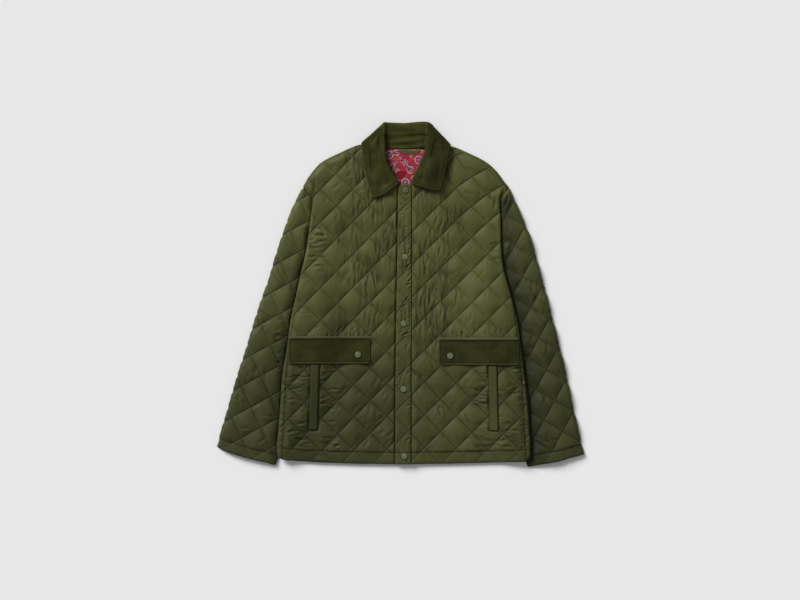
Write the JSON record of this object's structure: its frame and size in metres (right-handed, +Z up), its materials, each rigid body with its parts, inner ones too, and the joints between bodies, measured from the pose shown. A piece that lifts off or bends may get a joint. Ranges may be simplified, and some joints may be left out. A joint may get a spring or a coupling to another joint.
{
  "type": "quilted jacket",
  "caption": "Long-sleeved quilted jacket laid flat on its back, with a corduroy collar and pocket flaps, a snap placket and an open neck, hem and cuffs",
  "frame": {"origin": "centre of the jacket's bounding box, on the surface that it lies on", "axes": "+Z up off the surface, +Y from the hem towards the collar, +X towards the wearer's left, which is on the right as one looks down"},
  "size_m": [0.83, 0.781, 0.0234],
  "materials": {
    "shell": "satin quilted nylon, olive",
    "corduroy": "matte fine-wale corduroy, dark olive",
    "lining": "matte printed cotton, red with a paisley pattern",
    "snap": "satin enamel, pale olive"
  },
  "bodies": {
    "root": {"back": "shell", "front_right": "shell", "front_left": "shell", "placket": "shell", "sleeve_right": "shell", "sleeve_left": "shell", "collar_stand": "corduroy", "collar_leaf": "corduroy", "lining_back": "lining", "hanger_loop": "shell", "flap_right": "corduroy", "flap_snap_right": "snap", "flap_left": "corduroy", "flap_snap_left": "snap", "flap_welt_right": "shell", "flap_welt_left": "shell", "pocket_welt_right": "shell", "pocket_welt_left": "shell", "placket_snap_1": "snap", "placket_snap_2": "snap", "placket_snap_3": "snap", "placket_snap_4": "snap", "placket_snap_5": "snap"}
  },
  "joints": []
}
